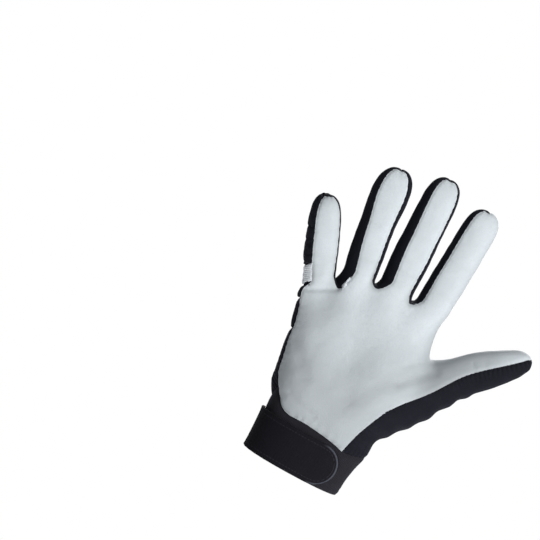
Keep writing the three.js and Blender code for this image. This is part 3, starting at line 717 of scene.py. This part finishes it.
# Palm leather
# Creases of the palm side, in millimetres: ends across and up the hand, depth and reach
CREASES = (
    {"name": "base of the little finger", "from": (-58, 123), "to": (-34, 136.5), "depth": 0.8, "width": 1.8},
    {"name": "ring finger, lower", "from": (-35, 163), "to": (-17, 168), "depth": 0.30, "width": 1.8},
    {"name": "middle finger, lower", "from": (-6, 171), "to": (14, 172), "depth": 0.30, "width": 1.8},
    {"name": "index finger, lower", "from": (26, 171), "to": (46, 168), "depth": 0.30, "width": 1.9},
    {"name": "ring finger, upper", "from": (-42, 192), "to": (-25, 195), "depth": 0.25, "width": 1.8},
    {"name": "middle finger, upper", "from": (-8, 199), "to": (10, 200), "depth": 0.25, "width": 1.8},
    {"name": "index finger, upper", "from": (29, 196), "to": (47, 194), "depth": 0.25, "width": 1.8},
    {"name": "thumb base", "from": (42, 110), "to": (12, 68), "depth": 0.9, "width": 7.0},
    {"name": "thumb web", "from": (58, 116), "to": (38, 96), "depth": 0.9, "width": 4.0},
    {"name": "thumb web, upper", "from": (52, 122), "to": (36, 110), "depth": 0.4, "width": 2.2},
    {"name": "thumb joint", "from": (80, 136), "to": (88, 124), "depth": 0.35, "width": 1.8},
    {"name": "thumb joint, outer", "from": (87, 142), "to": (94, 131), "depth": 0.25, "width": 1.6},
    {"name": "heel", "from": (-44, 88), "to": (-26, 68), "depth": 0.7, "width": 5.0},
    {"name": "wrist", "from": (-30, 52), "to": (-6, 46), "depth": 0.5, "width": 2.2},
)
DEEPEST_CREASE = 0.9 * MM

# Soft swellings of the palm under the fingers, in millimetres: place across and up the hand, height and reach
SWELLINGS = (
    {"name": "under the little finger", "at": (-35, 116), "height": 1.3, "width": 11.0},
    {"name": "under the index finger", "at": (21, 131), "height": 0.9, "width": 10.0},
)

# Where the palm's painted shade begins and ends, in millimetres: middle and width of each soft step
PAINTED_SHADE_STEPS = {
    "fingers": (128, 6),
    "heel": (78, 8),
    "thumb": (84, 5),
    "thumb tip": (150, 6),
    "thumb root": (44, 6),
}

# The palm is evened out below this level in millimetres, by so many passes
PALM_TOP = 146
PALM_PASSES = 350

# A crotch between two fingers lies this far above the low end of its gusset
CROTCH_RISE = 6 * MM


def distance_to_line(skin, start, end):
    """Distance of the points from a line on the palm, in millimetres, seen from the front."""
    start, end = np.array(start, float), np.array(end, float)
    points = np.stack([skin.x, skin.z], axis=1) - start
    line = end - start
    share = np.clip(points @ line / (line @ line), 0, 1)
    return np.linalg.norm(points - share[:, None] * line, axis=1)


def puckers(skin, pitch, reach, height, seed):
    """Small gathers square to a seam, fading over a reach."""
    path = skin.seam @ np.array([1.0, 0.6, 1.3])
    wander = 2.2 * skin.noise(9 * MM, seed)
    return height * near(skin.edge, reach) * np.sin(path * 2 * math.pi / pitch + wander)


def crease_depths(skin):
    """How deep the creases are at each point, in metres."""
    front = 1 / (1 + np.exp((skin.out[:, 1] + 0.15) * 12))
    depth = np.zeros(len(skin.place))
    for crease in CREASES:
        distance = distance_to_line(skin, crease["from"], crease["to"])
        depth += crease["depth"] * MM * near(distance, crease["width"]) * front
    return depth


def crotch_place(name):
    """Place across and up of a crotch between two fingers, in metres."""
    low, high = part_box(f"gusset_{name}")
    return np.array([(low.x + high.x) / 2, low.z + CROTCH_RISE])


def crotch_painted_shade(skin):
    """How much painted shade the leather's edges get in the crotches between the fingers, where shade falls.
    """
    wear = np.zeros(len(skin.place))
    for name in GUSSETS:
        reach = np.linalg.norm(skin.place[:, [0, 2]] - crotch_place(name), axis=1)
        wear += near(reach, 11 * MM) * near(skin.edge, 2.6 * MM)
    return wear


def palm_painted_shade(skin):
    """How much painted shade the leather gets where it faces the palm's side: the palm a little, its heel and
    the thumb more.
    """
    low = 1 - rise(skin.z, *PAINTED_SHADE_STEPS["fingers"])
    heel = 1 - rise(skin.z, *PAINTED_SHADE_STEPS["heel"])
    thumb = rise(skin.x + 0.35 * skin.z, *PAINTED_SHADE_STEPS["thumb"])
    thumb = thumb * (1 - rise(skin.z, *PAINTED_SHADE_STEPS["thumb tip"])) * rise(skin.x, *PAINTED_SHADE_STEPS["thumb root"])
    return (low * (0.35 + 0.35 * heel) + 0.55 * thumb) * facing_front(skin, 0.1)


def swelling(skin):
    """How far the palm swells at each point, in metres. Each swelling lies round a line 1 mm long."""
    height = np.zeros(len(skin.place))
    for spot in SWELLINGS:
        across, up = spot["at"]
        distance = distance_to_line(skin, (across, up), (across + 1, up))
        height += spot["height"] * MM * near(distance, spot["width"]) * facing_front(skin, 0.30)
    return height * clear_of_seams(skin, 4 * MM)


def sew_palm():
    wall = sizes().leather_wall
    piece = outer_skin("palm_leather", wall)
    refine(piece, 3, 8)
    skin = Skin(piece)
    even_out(piece, (1 - rise(skin.z, PALM_TOP, 3)) * facing_front(skin, 0.30), PALM_PASSES)
    skin = Skin(piece)
    crease = crease_depths(skin)
    soft = 0.40 * MM * skin.noise(15 * MM, 1) + 0.12 * MM * skin.noise(5 * MM, 2)
    pucker = puckers(skin, 5.5 * MM, 4.5 * MM, 0.16 * MM, 3)
    skin.push(soft + swelling(skin) + pucker - crease + seam_dip(skin, sizes().leather_seam, 1.3 * MM))
    skin.keep("crease", crease / DEEPEST_CREASE)
    # Painted shade for the palm, its heel, the thumb root and round the crotches
    skin.keep("worn", palm_painted_shade(skin) + 0.9 * crotch_painted_shade(skin))
    skin.keep("seam", near(skin.edge, 3 * MM))
    close_wall(piece, wall)
    material = leather_finish("grey_leather", colours().leather, sizes().grain, 0.35)
    finish_piece(piece, material, "palm_leather")


# Gussets between the fingers
def sew_gusset(name):
    node = f"gusset_{name}"
    wall = sizes().fabric_wall
    piece = outer_skin(node, wall)
    refine(piece, 3, 4)
    skin = Skin(piece)
    soft = 0.25 * MM * skin.noise(6 * MM, 4)
    skin.push(soft * clear_of_seams(skin, 3 * MM) + seam_dip(skin, sizes().fabric_seam * 0.6, 1.0 * MM))
    close_wall(piece, wall)
    finish_piece(piece, stretch_material(), node)


# Caps
def sew_cap(finger):
    node = f"cap_{finger}"
    wall = sizes().leather_wall
    piece = outer_skin(node, wall)
    refine(piece, 4, 8)
    skin = Skin(piece)
    soft = 0.12 * MM * skin.noise(6 * MM, 5)
    skin.push(soft + seam_dip(skin, sizes().leather_seam, 1.3 * MM))
    skin.keep("crease", 0 * skin.edge)
    skin.keep("worn", 0 * skin.edge)
    skin.keep("seam", near(skin.edge, 3 * MM))
    close_wall(piece, wall)
    material = material_once(
        leather_finish, "white_leather", "white_leather", colours().cap, sizes().grain * 0.8, 0.0)
    finish_piece(piece, material, node)


# Bands
def finger_direction(finger):
    """Direction from the middle of a finger's band to the middle of the segment above it."""
    band, back = (sum(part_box(f"{kind}_{finger}"), Vector()) / 2 for kind in ("band", "back"))
    return (back - band).normalized()


def sew_band(finger):
    node = f"band_{finger}"
    wall = sizes().leather_wall
    piece = outer_skin(node, wall)
    refine(piece, 3, 2)
    skin = Skin(piece)
    skin.push(seam_dip(skin, sizes().leather_seam * 0.7, 1.0 * MM))
    skin.keep("along", skin.place @ np.array(finger_direction(finger)))
    close_wall(piece, wall)
    material = material_once(band_finish, "white_elastic")
    finish_piece(piece, material, node)


# Puffed backs of the fingers
def sew_back(finger):
    node = f"back_{finger}"
    wall = sizes().fabric_wall
    piece = outer_skin(node, wall)
    refine(piece, 3 if finger == "pinkie" else 4, 8)
    puff_out(piece, 3.0, 0.06, 1.8 * MM)
    skin = Skin(piece)
    soft = 0.3 * MM * skin.noise(7 * MM, 6) * clear_of_seams(skin, 3 * MM)
    gather = puckers(skin, 4.2 * MM, 4 * MM, 0.22 * MM, 14)
    skin.push(soft + gather + seam_dip(skin, sizes().fabric_seam, 1.6 * MM))
    close_wall(piece, wall)
    finish_piece(piece, stretch_material(), node)


# Knuckle panel and back of the hand
# Beside the little finger the knuckle panel is tucked in: how far, and its limits in millimetres
TUCK_DEPTH = 1.3 * MM
TUCK_EDGE = 56
TUCK_TOP = 127

# The upper back panel rolls over its lower seam, except beyond this place on the little finger's side
ROLL_HEIGHT = 0.9 * MM
ROLL_END = 46

# Level and reach of the gathers at the wrist, in millimetres
WRIST_LEVEL = 46
WRIST_REACH = 22


def crotch_folds(skin):
    """Folds that fan out over the knuckles from the crotches between the fingers."""
    height = np.zeros(len(skin.place))
    for name in GUSSETS:
        offset = skin.place[:, [0, 2]] - crotch_place(name)
        reach = np.linalg.norm(offset, axis=1)
        turn = np.arctan2(offset[:, 1], offset[:, 0]) + 0.5 * skin.noise(12 * MM, 16)
        height += 0.6 * MM * near(reach, 16 * MM) * np.sin(7 * turn)
    return height


def sew_knuckles():
    wall = sizes().fabric_wall
    piece = outer_skin("knuckle_panel", wall)
    refine(piece, 3, 5)
    puff_out(piece, 2.0, 0.04, 1.2 * MM)
    skin = Skin(piece)
    soft = 0.3 * MM * skin.noise(6 * MM, 7) + crotch_folds(skin)
    gather = puckers(skin, 6.5 * MM, 8 * MM, 0.35 * MM, 15)
    tucked = TUCK_DEPTH * rise(-skin.x, TUCK_EDGE, 1) * (1 - rise(skin.z, TUCK_TOP, 1.5))
    soft = soft * clear_of_seams(skin, 2 * MM)
    skin.push(soft + gather - tucked + seam_dip(skin, sizes().fabric_seam, 1.5 * MM))
    close_wall(piece, wall)
    finish_piece(piece, stretch_material(), "knuckle_panel")


def sew_upper_back():
    wall = sizes().fabric_wall
    piece = outer_skin("back_upper", wall)
    refine(piece, 3, 5)
    skin = Skin(piece)
    soft = 0.5 * MM * skin.noise(16 * MM, 9)
    fold = np.clip((skin.z * MM - skin.seam[:, 2]) / np.maximum(skin.edge, 0.2 * MM), 0, 1)
    roll = ROLL_HEIGHT * fold * near(skin.edge, 5 * MM) * (1 - rise(-skin.x, ROLL_END, 2))
    dip = seam_dip(skin, sizes().fabric_seam, 1.5 * MM) * (1 - fold)
    skin.push(soft * clear_of_seams(skin, 2 * MM) + roll + dip)
    close_wall(piece, wall)
    finish_piece(piece, stretch_material(), "back_upper")


def sew_lower_back():
    wall = sizes().fabric_wall
    piece = outer_skin("back_lower", wall)
    refine(piece, 3, 5)
    skin = Skin(piece)
    soft = 0.5 * MM * skin.noise(18 * MM, 10)
    wrist = near(skin.z - WRIST_LEVEL, WRIST_REACH)
    gather = wrist * puckers(skin, 6.5 * MM, 12 * MM, 0.5 * MM, 17)
    dip = seam_dip(skin, 1.4 * sizes().fabric_seam, 1.8 * MM)
    skin.push((soft + gather) * clear_of_seams(skin, 2 * MM) + dip)
    close_wall(piece, wall)
    finish_piece(piece, knit_finish(), "back_lower")


# Thumb
def sew_thumb():
    wall = sizes().fabric_wall
    piece = outer_skin("thumb_back", wall)
    refine(piece, 3, 4)
    skin = Skin(piece)
    soft = 0.35 * MM * skin.noise(8 * MM, 11)
    gather = puckers(skin, 5.4 * MM, 6 * MM, 0.35 * MM, 18)
    skin.push(soft * clear_of_seams(skin, 3 * MM) + gather + seam_dip(skin, sizes().fabric_seam, 1.4 * MM))
    close_wall(piece, wall)
    finish_piece(piece, stretch_material(), "thumb_back")


# Cuff
# Level and width of the line of the cuff's hem, in millimetres
HEM_LEVEL = 4.5
HEM_WIDTH = 0.9


def sew_cuff():
    wall = sizes().cuff_wall
    piece = outer_skin("cuff", wall)
    refine(piece, 3, 4)
    skin = Skin(piece)
    soft = 0.4 * MM * skin.noise(12 * MM, 12)
    hem = -0.35 * MM * near(skin.z - HEM_LEVEL, HEM_WIDTH)
    angle = np.arctan2(skin.y, skin.x)
    low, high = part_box("cuff")
    radius = (high.x - low.x) / 2
    skin.keep("round", angle * radius)
    skin.push(soft * clear_of_seams(skin, 4 * MM) + hem + seam_dip(skin, sizes().fabric_seam, 1.6 * MM))
    close_wall(piece, wall)
    finish_piece(piece, cuff_finish(), "cuff")


# Strap and label
def plate_copy(node):
    """A welded copy of a plate, its rim creased so that it stays crisp."""
    piece = welded_copy(node)
    make_quads()
    bpy.ops.mesh.select_all(action="DESELECT")
    bpy.ops.mesh.edges_select_sharp(sharpness=math.radians(60))
    bpy.ops.transform.edge_crease(value=0.75)
    bpy.ops.object.mode_set(mode="OBJECT")
    return piece


def sew_strap():
    piece = plate_copy("strap")
    refine(piece, 3, 0)
    shade_smooth(piece)
    skin = Skin(piece)
    low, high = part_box("strap")
    radius = (high.z - low.z) / 2
    end = skin.place[:, 0] - (high.x - radius)
    past = np.maximum(end, 0)
    skin.keep("end", end)
    skin.keep("inset", radius - np.hypot(past, skin.place[:, 2] - (low.z + high.z) / 2))
    # This flat size is too large: the strap of the CAD part measures about 91.5 by 32 mm
    finish_piece(piece, strap_finish(), "strap")


def sew_label():
    piece = plate_copy("label")
    refine(piece, 3, 0)
    shade_smooth(piece)
    low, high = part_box("label")
    material = label_finish((low + high) / 2, high.x - low.x, high.z - low.z)
    finish_piece(piece, material, "label")


# Stage
LEAN = math.radians(28.5)
PIXEL = 0.754 * MM
FRAME_PIXELS = 540
WRIST_PIXEL = (291.4, 469.9)
LENS = 85.0
SENSOR = 36.0
HAND_MIDDLE = (0.0, 0.0, 0.12)
FLOOR_LEVEL = -0.6
FLOOR_RADIUS = 1.2

# Lights round the hand: direction, distance and size in metres, power in watts
LIGHTS = (
    {"name": "key", "direction": (0.75, -1.0, 0.10), "distance": 1.3, "size": 0.7, "power": 20},
    {"name": "fill", "direction": (-0.1, -1.0, 0.7), "distance": 1.6, "size": 1.2, "power": 3},
    {"name": "back", "direction": (0.2, 1.0, 0.6), "distance": 1.4, "size": 1.0, "power": 12},
    {"name": "top", "direction": (0, 0, 1), "distance": 1.6, "size": 1.4, "power": 5},
)


def set_camera():
    """A long lens that faces the palm, rolled so that the hand leans as it does in the photograph."""
    right = Vector((math.cos(LEAN), 0, math.sin(LEAN)))
    up = Vector((-math.sin(LEAN), 0, math.cos(LEAN)))
    back = Vector((0, -1, 0))
    half = FRAME_PIXELS / 2
    middle = right * (half - WRIST_PIXEL[0]) * PIXEL + up * (WRIST_PIXEL[1] - half) * PIXEL
    distance = FRAME_PIXELS * PIXEL * LENS / SENSOR
    data = bpy.data.cameras.new("camera")
    data.lens = LENS
    data.sensor_width = SENSOR
    data.clip_end = 20
    camera = bpy.data.objects.new("camera", data)
    bpy.context.scene.collection.objects.link(camera)
    turned = Matrix((right, up, back)).transposed().to_4x4()
    turned.translation = middle + back * distance
    camera.matrix_world = turned
    bpy.context.scene.camera = camera


def add_light(name, direction, distance, size, power):
    """A round light at a distance from the middle of the hand, turned to it."""
    data = bpy.data.lights.new(name, "AREA")
    data.shape = "DISK"
    data.size = size
    data.energy = power
    light = bpy.data.objects.new(name, data)
    bpy.context.scene.collection.objects.link(light)
    towards = Vector(direction).normalized()
    light.location = Vector(HAND_MIDDLE) + towards * distance
    light.rotation_mode = "QUATERNION"
    light.rotation_quaternion = towards.to_track_quat("Z", "Y")


def set_world():
    """Even pale light from all round, in front of a white background."""
    world = bpy.data.worlds.new("studio")
    bpy.context.scene.world = world
    world.use_nodes = True
    tree = world.node_tree
    tree.nodes.clear()
    rays = tree.nodes.new("ShaderNodeLightPath")
    light = tree.nodes.new("ShaderNodeBackground")
    light.inputs["Color"].default_value = (0.95, 0.98, 1.0, 1)
    light.inputs["Strength"].default_value = 0.20
    backdrop = tree.nodes.new("ShaderNodeBackground")
    backdrop.inputs["Color"].default_value = (1, 1, 1, 1)
    backdrop.inputs["Strength"].default_value = 1.0
    both = tree.nodes.new("ShaderNodeMixShader")
    output = tree.nodes.new("ShaderNodeOutputWorld")
    tree.links.new(rays.outputs["Is Camera Ray"], both.inputs[0])
    tree.links.new(light.outputs[0], both.inputs[1])
    tree.links.new(backdrop.outputs[0], both.inputs[2])
    tree.links.new(both.outputs[0], output.inputs["Surface"])


def floor_finish():
    finish = Finish("pale_floor")
    speck = finish.noise(30 * MM, 3, 0.5)
    tone = finish.mix(speck, (0.90, 0.90, 0.90), (0.94, 0.94, 0.94))
    lit = {"Emission Color": (1, 1, 1, 1), "Emission Strength": 0.4}
    return finish.done({"Roughness": 0.9, "Specular IOR Level": 0.1, **lit}, **{"Base Color": tone})


def set_floor():
    bpy.ops.object.select_all(action="DESELECT")
    bpy.ops.mesh.primitive_circle_add(
        vertices=96, radius=FLOOR_RADIUS, fill_type="NGON", location=(0, 0, FLOOR_LEVEL))
    floor = bpy.context.active_object
    floor.name = "floor"
    bpy.ops.object.transform_apply(location=True, rotation=True, scale=True)
    floor.data.materials.append(floor_finish())


def set_stage():
    bpy.context.scene.view_settings.view_transform = "Standard"
    set_camera()
    for light in LIGHTS:
        add_light(**light)
    set_world()
    set_floor()


# Operators
class PieceOperator:
    """What the operators share."""

    bl_options = {"REGISTER", "UNDO"}

    def execute(self, context):
        self.make()
        return {"FINISHED"}


class GLOVE_OT_palm(PieceOperator, bpy.types.Operator):
    """Sew the leather palm with the fronts of the fingers"""

    bl_idname = "glove.palm"
    bl_label = "Palm leather"

    def make(self):
        sew_palm()


class GLOVE_OT_gussets(PieceOperator, bpy.types.Operator):
    """Sew the black gussets between the fingers"""

    bl_idname = "glove.gussets"
    bl_label = "Gussets"

    def make(self):
        for name in GUSSETS:
            sew_gusset(name)


class GLOVE_OT_caps(PieceOperator, bpy.types.Operator):
    """Sew the white leather caps on the finger backs"""

    bl_idname = "glove.caps"
    bl_label = "Finger caps"

    def make(self):
        for finger in CAPPED:
            sew_cap(finger)


class GLOVE_OT_bands(PieceOperator, bpy.types.Operator):
    """Sew the white ribbed bands across the fingers"""

    bl_idname = "glove.bands"
    bl_label = "Finger bands"

    def make(self):
        for finger in FINGERS:
            sew_band(finger)


class GLOVE_OT_finger_backs(PieceOperator, bpy.types.Operator):
    """Sew the puffed black backs of the fingers"""

    bl_idname = "glove.finger_backs"
    bl_label = "Finger backs"

    def make(self):
        for finger in FINGERS:
            sew_back(finger)


class GLOVE_OT_knuckles(PieceOperator, bpy.types.Operator):
    """Sew the gathered panel over the knuckles"""

    bl_idname = "glove.knuckles"
    bl_label = "Knuckle panel"

    def make(self):
        sew_knuckles()


class GLOVE_OT_back(PieceOperator, bpy.types.Operator):
    """Sew the two panels of the back of the hand"""

    bl_idname = "glove.back"
    bl_label = "Back panels"

    def make(self):
        sew_upper_back()
        sew_lower_back()


class GLOVE_OT_thumb(PieceOperator, bpy.types.Operator):
    """Sew the gathered outer half of the thumb"""

    bl_idname = "glove.thumb"
    bl_label = "Thumb back"

    def make(self):
        sew_thumb()


class GLOVE_OT_cuff(PieceOperator, bpy.types.Operator):
    """Knit the cuff"""

    bl_idname = "glove.cuff"
    bl_label = "Cuff"

    def make(self):
        sew_cuff()


class GLOVE_OT_strap(PieceOperator, bpy.types.Operator):
    """Lay the closing strap across the cuff"""

    bl_idname = "glove.strap"
    bl_label = "Strap"

    def make(self):
        sew_strap()


class GLOVE_OT_label(PieceOperator, bpy.types.Operator):
    """Sew the small woven label on the back"""

    bl_idname = "glove.label"
    bl_label = "Label"

    def make(self):
        sew_label()


class GLOVE_OT_stage(PieceOperator, bpy.types.Operator):
    """Set the camera, the lights and the pale floor"""

    bl_idname = "glove.stage"
    bl_label = "Stage"

    def make(self):
        set_stage()


OPERATORS = (
    GLOVE_OT_stage,
    GLOVE_OT_palm,
    GLOVE_OT_gussets,
    GLOVE_OT_caps,
    GLOVE_OT_bands,
    GLOVE_OT_finger_backs,
    GLOVE_OT_knuckles,
    GLOVE_OT_back,
    GLOVE_OT_thumb,
    GLOVE_OT_cuff,
    GLOVE_OT_strap,
    GLOVE_OT_label,
)


class GLOVE_PT_panel(bpy.types.Panel):
    """Lists the glove's pieces, sizes and colours"""

    bl_idname = "GLOVE_PT_panel"
    bl_label = "Glove"
    bl_space_type = "VIEW_3D"
    bl_region_type = "UI"
    bl_category = "Glove"

    def draw(self, context):
        for group in (context.scene.glove_sizes, context.scene.glove_colours):
            box = self.layout.box()
            for key in group.__annotations__:
                box.prop(group, key)
        for operator in OPERATORS:
            self.layout.operator(operator.bl_idname)


CLASSES = (GloveSizes, GloveColours, *OPERATORS, GLOVE_PT_panel)


def register():
    for item in CLASSES:
        bpy.utils.register_class(item)
    bpy.types.Scene.glove_sizes = bpy.props.PointerProperty(type=GloveSizes)
    bpy.types.Scene.glove_colours = bpy.props.PointerProperty(type=GloveColours)


def unregister():
    del bpy.types.Scene.glove_colours
    del bpy.types.Scene.glove_sizes
    for item in reversed(CLASSES):
        bpy.utils.unregister_class(item)


def main():
    register()
    for operator in OPERATORS:
        group, name = operator.bl_idname.split(".")
        getattr(getattr(bpy.ops, group), name)()


if __name__ == "__main__":
    main()
